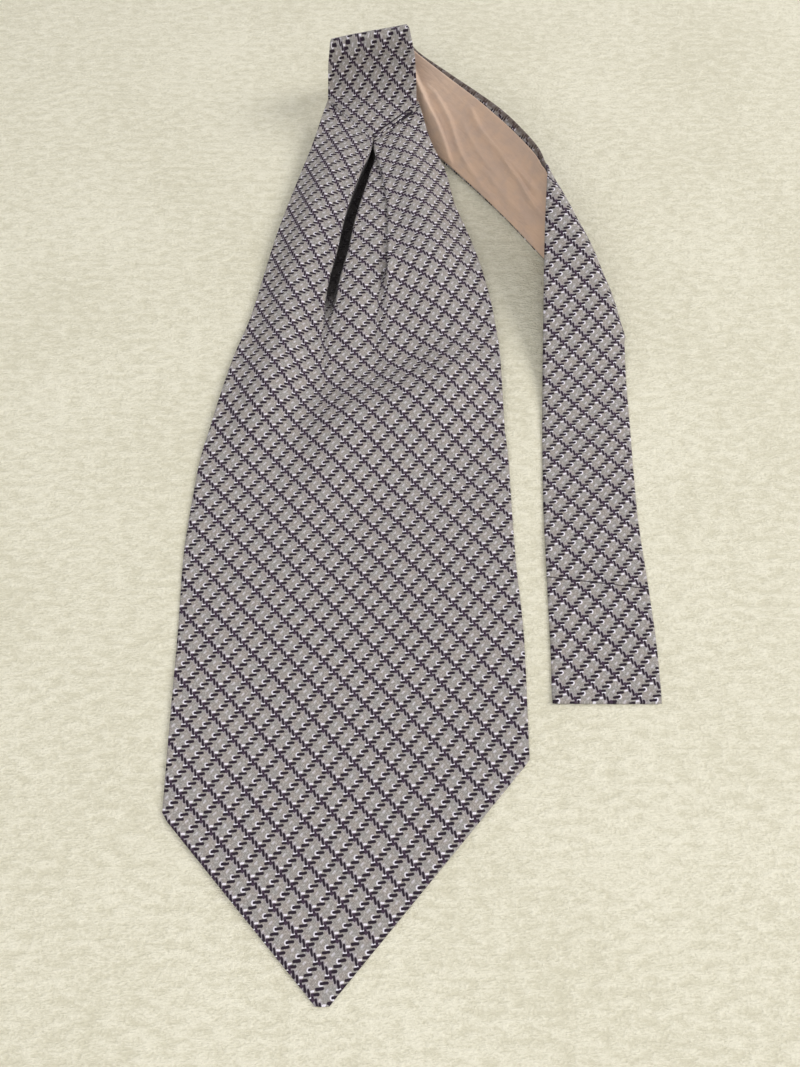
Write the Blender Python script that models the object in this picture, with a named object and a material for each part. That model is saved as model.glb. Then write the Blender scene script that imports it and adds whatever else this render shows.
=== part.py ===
"""Ascot tie with a pleated blade and a lined neckband, laid on a flat surface.

The blade lies flat, with its point towards -Y and one inverted pleat at its top.
The neckband starts over the pleat with a V-pointed end, stands up as a tab, loops
over, comes down behind with its lining upwards, folds once more on the right and
runs down to a squared end. Plan sizes are in millimetres, measured on the surface.
"""
import math

import bpy
import numpy as np
from mathutils import Vector

MM = 0.001

# Cloth
BLADE_WALL = 1.4
BAND_WALL = 1.4
LINING_WALL = 1.0
SEAM_GAP = 0.35
ROUGHNESS = 0.85
CREASE_ANGLE = 50
CLOTH_COLOUR = (0.33, 0.29, 0.275, 1)
LINING_COLOUR = (0.43, 0.30, 0.225, 1)

# The plan point that becomes the origin: the middle of the tie's outline
PLAN_MIDDLE = (7.7, 193.1)

# Blade. Below its corners it is flat, and its pointed end is straight-sided.
TIP = (-27.6, -43.5)
TIP_WIDTH = 2.4
LEFT_CORNER = (-91.2, 21.0)
RIGHT_CORNER = (50.8, 41.5)
PLEAT_RADIUS = 0.95
LEAST_BEND = 1.6
PANEL_STRIPS = 8
MIDDLE_STRIPS = 5
TURN_STRIPS = 4
EDGE_PASSES = 6

# The blade's side edges: plan y, and x of the left and the right edge
BLADE_SIDES = {
    "y": (41.5, 90, 130, 160, 176, 192, 208, 231, 254, 279, 303, 326, 346, 369, 396),
    "left": (-91.8, -93, -94.4, -93, -91.6, -88.6, -85.6, -80.8, -74.5, -69.6, -64.9, -59.2,
             -53.8, -46.8, -39.5),
    "right": (50.8, 51.6, 50, 49.6, 49.5, 48.5, 48.3, 48, 46, 41.6, 35.3, 27.9, 24.2, 15.5, 8.6),
}

# The pleat, a row for each level from the flat cloth up to the seam. y and z are the
# middle strip's. Each side has the plan x of its fold, how far the fold turns in
# degrees (180 is pressed flat), the depth of cloth inside it, how far its panel leans in
# degrees, the height of its outer edge and how far its middle rolls up.
PLEAT_COLUMNS = (
    "y", "z",
    "left_fold", "left_turn", "left_depth", "left_lean", "left_edge", "left_roll",
    "right_fold", "right_turn", "right_depth", "right_lean", "right_edge", "right_roll",
)
PLEAT_LEVELS = (
    (125, 0.7, -40, 0, 2, 0, 0.7, 0, -6, 0, 2, 0, 0.7, 0),
    (150, 0.7, -40, 0, 2, 0, 0.7, 0, -6, 0, 2, 0, 0.7, 0),
    (165, 0.8, -40, 0, 2, 0, 0.8, 0.4, -6, 0, 2, 0, 0.8, 0),
    (177, 1.0, -40, 0, 2, 0, 1.0, 1.6, -6, 0, 2, 0, 0.9, 0.2),
    (193, 1.2, -39.8, 2, 2, 2, 1.5, 3.8, -6, 1, 2, 1, 1.4, 0.4),
    (207, 1.4, -39.2, 5, 2, 5, 1.8, 5.8, -6, 5, 2, 2, 2.0, 0.8),
    (218, 1.8, -39, 8, 2, 8, 2.0, 5.8, -6, 8, 2, 3, 2.6, 1.2),
    (229, 2.2, -39, 12, 2, 9, 2.2, 5.4, -6, 12, 2, 5, 3.3, 1.4),
    (244, 3.2, -39.6, 40, 2, 12, 2.4, 4.6, -6, 30, 2, 7, 4.6, 1.6),
    (261, 4.6, -39.2, 96, 2.2, 14, 2.6, 4.0, -5.8, 80, 2.4, 10, 6.2, 2.4),
    (277, 6.0, -36.6, 138, 3.6, 16, 3.0, 3.8, -5.6, 140, 3.4, 13, 7.0, 3.4),
    (293, 7.6, -33, 162, 5.2, 17, 3.5, 3.6, -5.4, 172, 4.4, 14, 7.4, 4.4),
    (309, 8.2, -30.3, 172, 7, 18, 4.2, 3.8, -5.4, 176, 5.6, 16, 7.8, 4.2),
    (326, 8.2, -26.4, 176, 9, 19, 5.0, 3.4, -6.6, 178, 7.4, 18, 8.3, 3.4),
    (343, 7.4, -21.7, 178, 11, 19, 6.6, 2.4, -9.2, 180, 9.4, 18, 9.4, 2.6),
    (361, 6.2, -16.4, 178, 12.6, 18, 9.4, 1, -13.2, 180, 11.4, 17, 12.2, 1.2),
    (377, 6.8, -15.4, 180, 13, 21, 11, 0.2, -14.4, 180, 12, 15, 13.2, 0.2),
    (385, 7.1, -15.2, 180, 13, 26, 11.9, 0, -14.4, 180, 12, 14, 14, 0),
)
# A hump crosses below the pleat. Its crest's plan y at x 0, how fast the crest climbs to
# the right, how far the hump runs in front of it and behind it, its height, and between
# which places it fades out on the left and on the right.
HUMP_CREST = 204
HUMP_CLIMB = 0.42
HUMP_FRONT = 52
HUMP_BACK = 30
HUMP_HEIGHT = 7.4
HUMP_LEFT = (-62, -24)
HUMP_RIGHT = (16, 50)
HUMP_RIGHT_LOSS = 0.75
BLADE_LEVELS = (
    -42.6, -20, 0, 21, 41.5, 66, 92, 118, 134, 143, 151, 159, 167, 174, 181, 188, 195, 202, 209,
    216, 223, 231, 239, 247, 255, 264, 273, 283, 294, 306, 318, 331, 345, 358, 370, 385,
)

# Neckband: rulings across it, from the V-pointed end to the squared end. The left edge
# is the lower edge of the back stretch, and after the second fold the outer edge.
# The crown is how far the cloth bows out between its edges.
BAND_COLUMNS = ("left_x", "left_y", "left_z", "right_x", "right_y", "right_z", "crown")
BAND_RULINGS = (
    (-39.3, 397, 14.6, 8.3, 387.4, 17, 0.4),
    (-39, 398.6, 17.4, 8.3, 391.4, 21.6, 0.2),
    (-38.6, 400, 22.6, 8, 394.5, 28.6, -0.4),
    (-38, 402, 29.6, 7.2, 397.2, 38, 0.2),
    (-37, 402.8, 36, 5.4, 397.8, 46.6, 0.6),
    (-36.4, 405, 39.4, 4.1, 399.8, 51.2, 0.4),
    (-36.2, 409.6, 37.4, 3.2, 405, 49, 0),
    (-35.8, 414.6, 30.6, 2.4, 411.6, 42.2, 0),
    (-34.4, 419, 18.4, 2.2, 420, 33.6, 0),
    (-27.4, 419.4, 6.6, 4.2, 428, 24.8, 0),
    (-17.4, 411.6, 1.8, 10.2, 423.4, 20.4, 0.6),
    (2, 391, 1.1, 27.2, 403.2, 22.4, 1),
    (17.8, 370, 0.9, 42.7, 384.2, 25, 1.2),
    (29.8, 356, 0.9, 53.2, 369, 27.6, 1.2),
    (42, 341, 0.9, 62.6, 351.6, 30.6, 1.4),
    (53, 326.5, 0.9, 69.2, 336, 32.8, 1.8),
    (61.2, 315, 0.9, 71.4, 325.6, 34, 2.4),
    (77, 291, 0.9, 72.2, 322.6, 34.8, 3.2),
    (94, 264, 1.1, 72.6, 320.4, 35.2, 3.9),
    (105.8, 246.6, 2.4, 72.8, 318.2, 35.3, 4.2),
    (108.9, 242.4, 5, 72.7, 315.4, 34.9, 4.1),
    (108.9, 240, 6.3, 72.2, 310, 33, 3.6),
    (108.6, 238.4, 6.1, 71.3, 293, 26.6, 2.6),
    (108.4, 236, 5.4, 70.6, 270, 18.2, 1.8),
    (108.2, 231, 4.4, 70.1, 248, 10.8, 1.1),
    (108, 220, 2.6, 69.4, 228, 5, 0.5),
    (107.8, 204, 1.1, 68.4, 208, 1.4, 0.2),
    (107.2, 188, 0.7, 67.2, 190, 0.7, 0),
    (105.7, 150, 0.7, 65, 150, 0.7, 0),
    (106.5, 110, 0.7, 64, 110, 0.7, 0),
    (106.6, 85, 0.7, 63.4, 85, 0.7, 0),
    (106, 64.5, 0.7, 62.4, 64.5, 0.7, 0),
)
# Where the stretches part, and where the lining runs, counted in rulings
TAB_ENDS_AT = 7.5
BACK_ENDS_AT = 15.8
RULING_GAP = 0.05
LINING_RUNS = (2.6, 18.2)
LINING_INSET = 1.3
BAND_STRIPS = 8
ROWS_PER_RULING = 2

# The V-pointed end lies on the blade from the first ruling down to this point, and its
# two corners turn down by this much
V_POINT = (-15.2, 371, 12.45)
V_ROWS = 4
V_CORNER_DROP = (0, -1.2, -0.4)


def read_columns(names, rows):
    """Turn a table's rows into one array of numbers for each named column."""
    return {name: np.array([row[i] for row in rows], float) for i, name in enumerate(names)}


def between(positions, values, tangents, at):
    """Read a curve with known tangents at one place between its rows."""
    i = int(np.clip(np.searchsorted(positions, at) - 1, 0, len(positions) - 2))
    step = positions[i + 1] - positions[i]
    t = (at - positions[i]) / step
    return (
        (1 + 2 * t) * (1 - t) ** 2 * values[i]
        + t * (1 - t) ** 2 * step * tangents[i]
        + t * t * (3 - 2 * t) * values[i + 1]
        - t * t * (1 - t) * step * tangents[i + 1]
    )


def smooth(positions, values, at):
    """Read a table between its rows along a curve that doesn't swing past them."""
    slopes = np.diff(values) / np.diff(positions)
    tangents = np.empty(len(values))
    tangents[0], tangents[-1] = slopes[0], slopes[-1]
    for i in range(1, len(values) - 1):
        before, after = slopes[i - 1], slopes[i]
        tangents[i] = 0 if before * after <= 0 else 2 * before * after / (before + after)
    return between(positions, values, tangents, at)


def round_through(positions, values, at):
    """Read a table between its rows along a round curve through all of them."""
    return between(positions, values, np.gradient(values, positions), at)


def soft_step(low, high, at):
    """Rise softly from 0 at low to 1 at high."""
    t = np.clip((at - low) / (high - low), 0, 1)
    return t * t * (3 - 2 * t)


def cloth_material(name, colour):
    """Make one plain cloth material."""
    material = bpy.data.materials.new(name)
    material.use_nodes = True
    shader = material.node_tree.nodes["Principled BSDF"]
    shader.inputs["Base Color"].default_value = colour
    shader.inputs["Roughness"].default_value = ROUGHNESS
    shader.inputs["Metallic"].default_value = 0.0
    return material


def wall(name, grid, thickness, colour, shift=0.0):
    """Make a closed wall of cloth on a grid of plan points, in millimetres."""
    grid = np.asarray(grid, float)
    normals = np.cross(np.gradient(grid, axis=1), np.gradient(grid, axis=0))
    normals /= np.linalg.norm(normals, axis=2, keepdims=True)
    rows, columns = grid.shape[:2]
    front = grid + normals * (shift + thickness / 2)
    back = grid + normals * (shift - thickness / 2)
    points = np.concatenate([front.reshape(-1, 3), back.reshape(-1, 3)])
    points -= (PLAN_MIDDLE[0], PLAN_MIDDLE[1], 0)
    points *= MM
    behind = rows * columns

    def at(row, column):
        return row * columns + column

    faces = []
    for r in range(rows - 1):
        for c in range(columns - 1):
            corners = (at(r, c), at(r, c + 1), at(r + 1, c + 1), at(r + 1, c))
            faces.append(corners)
            faces.append(tuple(behind + i for i in reversed(corners)))
    rim = [at(0, c) for c in range(columns)]
    rim += [at(r, columns - 1) for r in range(1, rows)]
    rim += [at(rows - 1, c) for c in range(columns - 2, -1, -1)]
    rim += [at(r, 0) for r in range(rows - 2, 0, -1)]
    for i, here in enumerate(rim):
        after = rim[(i + 1) % len(rim)]
        faces.append((after, here, behind + here, behind + after))
    mesh = bpy.data.meshes.new(name)
    mesh.from_pydata([Vector(p) for p in points], [], faces)
    mesh.shade_smooth()
    mesh.set_sharp_from_angle(angle=math.radians(CREASE_ANGLE))
    mesh.materials.append(cloth_material(name + "_cloth", colour))
    piece = bpy.data.objects.new(name, mesh)
    bpy.context.collection.objects.link(piece)
    return piece


def fold_path(turn, depth):
    """Trace one pleat fold from the middle strip out to its panel.

    It gives distances outwards and upwards: round one bend, along the cloth inside
    the fold, and back round the other bend.
    """
    bend_step = max(PLEAT_RADIUS * turn, LEAST_BEND) / TURN_STRIPS
    headings = turn * (np.arange(TURN_STRIPS) + 0.5) / TURN_STRIPS
    legs = [(bend_step, heading) for heading in headings]
    legs += [(depth / 2, turn)] * 2
    legs += [(bend_step, heading) for heading in headings[::-1]]
    out, up, places = 0.0, 0.0, []
    for length, heading in legs:
        out += length * math.cos(heading)
        up += length * math.sin(heading)
        places.append((out, up))
    return places


def side_x(side, y):
    """Give the plan x of the blade's left or right edge at a level."""
    return smooth(np.array(BLADE_SIDES["y"], float), np.array(BLADE_SIDES[side], float), y)


def panel(side, level, fold_place):
    """Run one panel from its fold out to the blade's edge, at its own lean and roll."""
    lean = math.tan(math.radians(level[side + "_lean"]))
    fold_x, y, fold_z = fold_place
    edge_y = y
    for _ in range(EDGE_PASSES):
        edge_x = side_x(side, edge_y)
        edge_y = y + lean * abs(edge_x - fold_x)
    edge_z, roll = level[side + "_edge"], level[side + "_roll"]
    places = []
    for i in range(1, PANEL_STRIPS + 1):
        q = i / PANEL_STRIPS
        x = fold_x + (edge_x - fold_x) * q
        z = fold_z + (edge_z - fold_z) * q + roll * math.sin(math.pi * q) ** 2
        places.append((x, y + lean * abs(x - fold_x), z))
    return places


def blade_row(pleat, y):
    """Trace the blade's cloth across at one level, from the left edge to the right."""
    flat_below = pleat["y"][0]
    level = {name: smooth(pleat["y"], values, max(y, flat_below)) for name, values in pleat.items()}
    halves = {}
    for side, sign in (("left", -1), ("right", 1)):
        path = fold_path(math.radians(level[side + "_turn"]), level[side + "_depth"])
        start = level[side + "_fold"] - sign * path[-1][0]
        fold = [(start + sign * out, y, level["z"] + up) for out, up in path]
        halves[side] = (start, fold + panel(side, level, fold[-1]))
    left_start, left = halves["left"]
    right_start, right = halves["right"]
    middle = [
        (left_start + (right_start - left_start) * i / MIDDLE_STRIPS, y, level["z"])
        for i in range(MIDDLE_STRIPS + 1)
    ]
    return np.array(left[::-1] + middle + right)


def hump(x, y):
    """Give the hump's height at plan places."""
    beyond = y - (HUMP_CREST + HUMP_CLIMB * x)
    along = soft_step(-HUMP_FRONT, 0, beyond) * (1 - soft_step(0, HUMP_BACK, beyond))
    across = soft_step(*HUMP_LEFT, x) * (1 - HUMP_RIGHT_LOSS * soft_step(*HUMP_RIGHT, x))
    return HUMP_HEIGHT * along * across


def blade_grid():
    """Stack the blade's rows; below the corners each row keeps its shares of the width."""
    pleat = read_columns(PLEAT_COLUMNS, PLEAT_LEVELS)
    corner_row = blade_row(pleat, RIGHT_CORNER[1])
    shares = (corner_row[:, 0] - corner_row[0, 0]) / (corner_row[-1, 0] - corner_row[0, 0])
    left_at = (TIP[1], LEFT_CORNER[1], RIGHT_CORNER[1])
    left_places = (TIP[0] - TIP_WIDTH / 2, LEFT_CORNER[0], corner_row[0, 0])
    right_at = (TIP[1], RIGHT_CORNER[1])
    right_places = (TIP[0] + TIP_WIDTH / 2, RIGHT_CORNER[0])
    grid = []
    for y in BLADE_LEVELS:
        if y > RIGHT_CORNER[1]:
            grid.append(blade_row(pleat, y))
            continue
        left = np.interp(y, left_at, left_places)
        right = np.interp(y, right_at, right_places)
        row = np.empty_like(corner_row)
        row[:, 0] = left + (right - left) * shares
        row[:, 1] = y
        row[:, 2] = BLADE_WALL / 2
        grid.append(row)
    grid = np.array(grid)
    grid[:, :, 2] += hump(grid[:, :, 0], grid[:, :, 1])
    return grid


def band_grid(start, end):
    """Stack the neckband's rows between two places, and bow them by the crown."""
    band = read_columns(BAND_COLUMNS, BAND_RULINGS)
    places = np.arange(len(BAND_RULINGS), dtype=float)
    stops = np.linspace(start, end, max(2, round((end - start) * ROWS_PER_RULING)) + 1)
    q = np.linspace(0, 1, BAND_STRIPS + 1)
    rows = []
    for at in stops:
        here = {name: round_through(places, values, at) for name, values in band.items()}
        left = np.array([here["left_x"], here["left_y"], here["left_z"]])
        right = np.array([here["right_x"], here["right_y"], here["right_z"]])
        rows.append(left + (right - left) * q[:, None])
    grid = np.array(rows)
    across = grid[:, -1] - grid[:, 0]
    along = np.gradient(grid[:, BAND_STRIPS // 2], axis=0)
    normals = np.cross(across, along)
    normals /= np.linalg.norm(normals, axis=1, keepdims=True)
    crowns = np.array([smooth(places, band["crown"], at) for at in stops])
    bow = 4 * q * (1 - q)
    grid += normals[:, None, :] * (crowns[:, None] * bow[None, :])[:, :, None]
    grid[:, :, 2] = np.maximum(grid[:, :, 2], BAND_WALL / 2)
    return grid


def tab_grid():
    """Run the tab from its V-pointed end on the blade up and over the loop."""
    band = band_grid(0, TAB_ENDS_AT)
    first = band[0]
    point = np.array(V_POINT)
    left_corner = first[0] + V_CORNER_DROP
    right_corner = first[-1] + V_CORNER_DROP
    half = BAND_STRIPS // 2
    v_edge = [left_corner + (point - left_corner) * (i / half) for i in range(half)]
    v_edge += [point + (right_corner - point) * (i / half) for i in range(half + 1)]
    v_edge = np.array(v_edge)
    rows = [v_edge + (first - v_edge) * (r / V_ROWS) for r in range(V_ROWS)]
    return np.concatenate([np.array(rows), band])


def lining_grid():
    """Run the lining along the band, narrowed so that the outer cloth shows at its edges."""
    grid = band_grid(*LINING_RUNS)
    across = grid[:, -1] - grid[:, 0]
    across /= np.linalg.norm(across, axis=1, keepdims=True)
    towards_edge = np.linspace(-1, 1, BAND_STRIPS + 1)
    grid -= across[:, None, :] * towards_edge[None, :, None] * LINING_INSET
    return grid


for old in list(bpy.data.objects):
    bpy.data.objects.remove(old, do_unlink=True)

# The lining lies on the band's inner side
lining_shift = -(BAND_WALL / 2 + SEAM_GAP + LINING_WALL / 2)
last_ruling = len(BAND_RULINGS) - 1
wall("blade", blade_grid(), BLADE_WALL, CLOTH_COLOUR)
wall("neckband_tab", tab_grid(), BAND_WALL, CLOTH_COLOUR)
wall("neckband_back", band_grid(TAB_ENDS_AT + RULING_GAP, BACK_ENDS_AT), BAND_WALL, CLOTH_COLOUR)
wall("neckband_end", band_grid(BACK_ENDS_AT + RULING_GAP, last_ruling), BAND_WALL, CLOTH_COLOUR)
wall("neckband_lining", lining_grid(), LINING_WALL, LINING_COLOUR, lining_shift)
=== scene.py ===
import math

import bpy
import numpy as np
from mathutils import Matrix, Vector


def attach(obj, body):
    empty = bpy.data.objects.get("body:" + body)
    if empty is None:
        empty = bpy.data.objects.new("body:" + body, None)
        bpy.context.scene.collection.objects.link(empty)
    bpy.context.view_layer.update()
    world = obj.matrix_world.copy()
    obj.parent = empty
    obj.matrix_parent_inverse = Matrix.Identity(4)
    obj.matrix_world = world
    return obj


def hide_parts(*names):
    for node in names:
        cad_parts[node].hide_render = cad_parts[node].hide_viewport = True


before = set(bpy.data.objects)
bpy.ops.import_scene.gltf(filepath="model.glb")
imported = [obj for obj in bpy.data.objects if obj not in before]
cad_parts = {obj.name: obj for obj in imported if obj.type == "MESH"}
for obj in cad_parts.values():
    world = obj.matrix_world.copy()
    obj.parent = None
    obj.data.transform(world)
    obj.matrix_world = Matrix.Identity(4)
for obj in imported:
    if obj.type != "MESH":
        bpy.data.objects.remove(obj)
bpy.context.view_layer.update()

# The tie lies on a pale fleece under a large soft window light from the upper right and
# a weaker lamp in front. The camera looks down on it from above its point, and is tilted
# towards the neckband.
PLAN_MIDDLE = np.array((7.7, 193.1, 0.0))
CAMERA_HEIGHT = 0.327
CAMERA_TILT = 23.11
FOCAL_PIXELS = 800
PHOTO_HEIGHT = 1067
SENSOR = 36
WINDOW_PLACE = (2.1, 0.45, 1.7)
WINDOW_SIZE = 1.3
WINDOW_POWER = 47
LAMP_PLACE = (-0.5, -1.7, 1.5)
LAMP_SIZE = 1.4
LAMP_POWER = 22
LIGHT_COLOUR = (1.0, 0.98, 0.95)
ROOM_LIGHT = 0.60
ROOM_COLOUR = (0.97, 0.98, 1.0, 1)
FLEECE_REACH = 3
CREAM = (0.665, 0.628, 0.485, 1)
PALE_CREAM = (0.82, 0.783, 0.64, 1)


class Value:
    """One value inside a material; sums on it add the material's Math nodes."""

    def __init__(self, tree, socket):
        self.tree = tree
        self.socket = socket

    def node(self, kind, settings, inputs, output=0):
        """Add any other node: its settings first, then its sockets' values or links."""
        made = self.tree.nodes.new(kind)
        for name, setting in settings.items():
            setattr(made, name, setting)
        for name, value in inputs.items():
            if isinstance(value, Value):
                self.tree.links.new(value.socket, made.inputs[name])
            else:
                made.inputs[name].default_value = value
        return Value(self.tree, made.outputs[output])

    def maths(self, operation, *others):
        """Add a Math node on this value and others."""
        inputs = dict(enumerate((self, *others)))
        return self.node("ShaderNodeMath", {"operation": operation}, inputs)

    def __add__(self, other):
        return self.maths("ADD", other)

    __radd__ = __add__

    def __sub__(self, other):
        return self.maths("SUBTRACT", other)

    def __rsub__(self, other):
        return self.maths("MULTIPLY_ADD", -1.0, other)

    def __mul__(self, other):
        return self.maths("MULTIPLY", other)

    __rmul__ = __mul__

    def step(self, start, end):
        """Rise softly from 0 at start to 1 at end; start may be the larger."""
        inputs = {"Value": self, "From Min": start, "From Max": end}
        return self.node("ShaderNodeMapRange", {"interpolation_type": "SMOOTHSTEP"}, inputs)

    def mixed(self, low, high):
        """Mix two colours, with this value as the share of the second."""
        inputs = {0: self, 6: low, 7: high}
        return self.node("ShaderNodeMix", {"data_type": "RGBA"}, inputs, 2)

    def vector(self, operation, other):
        """Shift or stretch a place by a fixed vector."""
        return self.node("ShaderNodeVectorMath", {"operation": operation}, {0: self, 1: other})

    def part(self, number):
        """Read one coordinate of a place."""
        return self.node("ShaderNodeSeparateXYZ", {}, {0: self}, number)

    def noise(self, scale, detail=2.0, rough=0.5):
        """Read soft noise at this place."""
        inputs = {"Vector": self, "Scale": scale, "Detail": detail, "Roughness": rough}
        return self.node("ShaderNodeTexNoise", {}, inputs)


def new_finish(name, roughness, sheen=0.0):
    """Start a material, and give it with its shader."""
    material = bpy.data.materials.new(name)
    material.use_nodes = True
    shader = material.node_tree.nodes["Principled BSDF"]
    shader.inputs["Roughness"].default_value = roughness
    shader.inputs["Sheen Weight"].default_value = sheen
    shader.inputs["Sheen Roughness"].default_value = 0.4
    shader.inputs["Specular IOR Level"].default_value = 0.3
    return material, shader


def read_piece(material, kind, output, **settings):
    """Read something of the piece itself: its places, its cloth's map or its shade."""
    node = material.node_tree.nodes.new(kind)
    for name, setting in settings.items():
        setattr(node, name, setting)
    return Value(material.node_tree, node.outputs[output])


def wear(shader, colour, height, strength, distance):
    """Put a colour and a relief on a shader."""
    colour.tree.links.new(colour.socket, shader.inputs["Base Color"])
    inputs = {"Height": height, "Strength": strength, "Distance": distance}
    relief = colour.node("ShaderNodeBump", {}, inputs)
    colour.tree.links.new(relief.socket, shader.inputs["Normal"])


camera = bpy.data.cameras.new("camera")
camera.sensor_width = SENSOR
camera.lens = FOCAL_PIXELS / PHOTO_HEIGHT * SENSOR
camera_object = bpy.data.objects.new("camera", camera)
bpy.context.collection.objects.link(camera_object)
camera_object.location = (-PLAN_MIDDLE[0] / 1000, -PLAN_MIDDLE[1] / 1000, CAMERA_HEIGHT)
camera_object.rotation_euler = (math.radians(CAMERA_TILT), 0, 0)
bpy.context.scene.camera = camera_object
bpy.context.scene.view_settings.view_transform = "Standard"

for name, at, size, power in (
    ("window", WINDOW_PLACE, WINDOW_SIZE, WINDOW_POWER),
    ("lamp", LAMP_PLACE, LAMP_SIZE, LAMP_POWER),
):
    light = bpy.data.lights.new(name, "AREA")
    light.energy = power
    light.size = size
    light.color = LIGHT_COLOUR
    light_object = bpy.data.objects.new(name, light)
    bpy.context.collection.objects.link(light_object)
    light_object.location = at
    light_object.rotation_euler = (-Vector(at)).to_track_quat("-Z", "Y").to_euler()
world = bpy.data.worlds.new("room")
world.use_nodes = True
background = world.node_tree.nodes["Background"]
background.inputs["Color"].default_value = ROOM_COLOUR
background.inputs["Strength"].default_value = ROOM_LIGHT
bpy.context.scene.world = world

fleece_mesh = bpy.data.meshes.new("fleece")
signs = ((-1, -1), (1, -1), (1, 1), (-1, 1))
fleece_corners = [(FLEECE_REACH * across, FLEECE_REACH * along, 0) for across, along in signs]
fleece_mesh.from_pydata(fleece_corners, [], [(0, 1, 2, 3)])
fleece = bpy.data.objects.new("fleece", fleece_mesh)
bpy.context.collection.objects.link(fleece)
fleece_finish, fleece_shader = new_finish("fleece_pile", 0.95, 0.1)
place = read_piece(fleece_finish, "ShaderNodeTexCoord", "Object")
combed = place.vector("MULTIPLY", (1, 2.2, 1))
tufts = combed.noise(150, 4.0, 0.65)
fibres = combed.noise(640, 3.0, 0.7)
patches = place.noise(14, 2.0)
paleness = (tufts * 0.45 + fibres * 0.4 + patches * 0.15).step(0.41, 0.59)
fleece_colour = paleness.mixed(CREAM, PALE_CREAM)
wear(fleece_shader, fleece_colour, tufts + fibres * 0.6, strength=0.6, distance=0.0031)
fleece_mesh.materials.append(fleece_finish)

# The blade is one wide panel of woven check, cut on the bias with a pointed end. It is
# folded into one inverted pleat at its top, where the folds stand up, and a soft hump
# rises below the pleat where it is released. Below that it lies flat.

# Sizes in millimetres on the plan, where y runs up the tie from near its point
CLOTH = 0.9
TIP = (-27.6, -43.5)
TIP_WIDTH = 3.0
LEFT_CORNER = (-91.2, 21.0)
RIGHT_CORNER = (50.8, 41.5)
PANEL_STRIPS = 44
MIDDLE_STRIPS = 34
MIDDLE_X = -20.5

# Side edges: plan y, and x of the left and the right edge
BLADE_SIDES = {
    "y": (41.5, 90, 130, 160, 176, 192, 208, 231, 254, 279, 303, 326, 346, 369, 396),
    "left": (-91.8, -93, -94.4, -93, -91.6, -88.6, -85.6, -80.8, -74.5, -69.6, -64.9, -59.2,
             -53.8, -46.8, -39.5),
    "right": (50.8, 51.6, 50, 49.6, 49.5, 48.5, 48.3, 48, 46, 41.6, 35.3, 27.9, 24.2, 15.5, 8.6),
}

# The pleat by level: y, the middle strip's height and crown; for each side its fold's x,
# its panel's lean in degrees, its outer edge's height and how far its middle rolls up
PLEAT_COLUMNS = (
    "y", "z", "crown",
    "left_fold", "left_lean", "left_edge", "left_roll",
    "right_fold", "right_lean", "right_edge", "right_roll",
)
PLEAT_LEVELS = (
    (125, 0.6, 0, -40, 0, 0.6, 0, -6, 0, 0.6, 0),
    (150, 0.7, 0, -40, 0, 0.6, 0, -6, 0, 0.6, 0),
    (165, 0.8, 0, -40, 0, 0.8, 0.4, -6, 0, 0.7, 0),
    (177, 0.9, 0, -40, 0, 1.0, 1.6, -6, 0, 0.9, 0.2),
    (193, 1.1, 0, -39.8, 2, 1.5, 3.8, -6, 1, 1.4, 0.4),
    (207, 1.4, 0.1, -39.2, 5, 1.8, 5.8, -6, 2, 2.0, 0.8),
    (218, 1.9, 0.3, -39, 8, 2.0, 5.8, -6, 3, 2.6, 1.2),
    (229, 2.6, 0.7, -39, 9, 2.2, 5.4, -6, 5, 3.3, 1.4),
    (244, 4.2, 1.2, -39.6, 12, 2.4, 4.6, -6, 7, 4.6, 1.6),
    (261, 7.0, 1.6, -39.2, 14, 2.6, 4.0, -5.8, 10, 6.2, 2.4),
    (277, 9.2, 1.4, -36.6, 16, 3.0, 3.8, -5.6, 13, 7.0, 3.4),
    (293, 10.6, 1.2, -33, 17, 3.5, 3.6, -5.4, 14, 7.4, 4.6),
    (309, 11.4, 1, -30.3, 18, 4.2, 3.8, -5.4, 16, 7.8, 4.6),
    (326, 11.4, 0.8, -26.4, 19, 5.0, 3.6, -6.6, 18, 8.3, 3.8),
    (343, 10.6, 0.6, -21.7, 20, 6.4, 2.6, -9.2, 18, 9.0, 3.0),
    (361, 9.0, 0.4, -16.3, 19, 9.2, 1.2, -13.2, 17, 11.4, 2.0),
    (377, 8.0, 0.2, -15.2, 21, 12, 0.2, -14.4, 15, 14.4, 0.5),
    (385, 8.2, 0.2, -15.2, 26, 12.9, 0, -14.4, 14, 15.4, 0),
)

# The slot left of the middle strip: y, how steeply the cloth dips in degrees and how far,
# its width at the bottom, how far it turns up again, the leg's height and the fold's radius
SLOT_COLUMNS = ("y", "dip", "down", "floor", "turn", "up", "radius")
SLOT_LEVELS = (
    (176, 0, 0.2, 0.2, 1, 0.6, 1.5),
    (202, 2, 0.3, 0.3, 6, 1.0, 1.6),
    (222, 4, 0.4, 0.4, 14, 0.4, 1.8),
    (240, 8, 0.6, 0.5, 28, 0.4, 1.9),
    (252, 24, 1.2, 1.3, 54, 0.4, 1.9),
    (263, 50, 2.8, 2.5, 84, 1.4, 1.7),
    (274, 68, 4.0, 3.5, 98, 3.2, 1.4),
    (288, 74, 5.0, 4.2, 100, 4.6, 1.2),
    (308, 76, 5.4, 4.4, 100, 5.4, 1.0),
    (330, 76, 5.4, 4.2, 100, 6.4, 0.9),
    (350, 75, 4.6, 3.1, 102, 7.2, 0.8),
    (362, 70, 3.8, 1.9, 106, 7.4, 0.8),
    (371, 58, 2.6, 0.8, 130, 6.4, 0.6),
    (379, 20, 0.8, 0.3, 168, 9, 0.6),
    (385, 0, 0.3, 0.2, 179, 12, 0.6),
)
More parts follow.
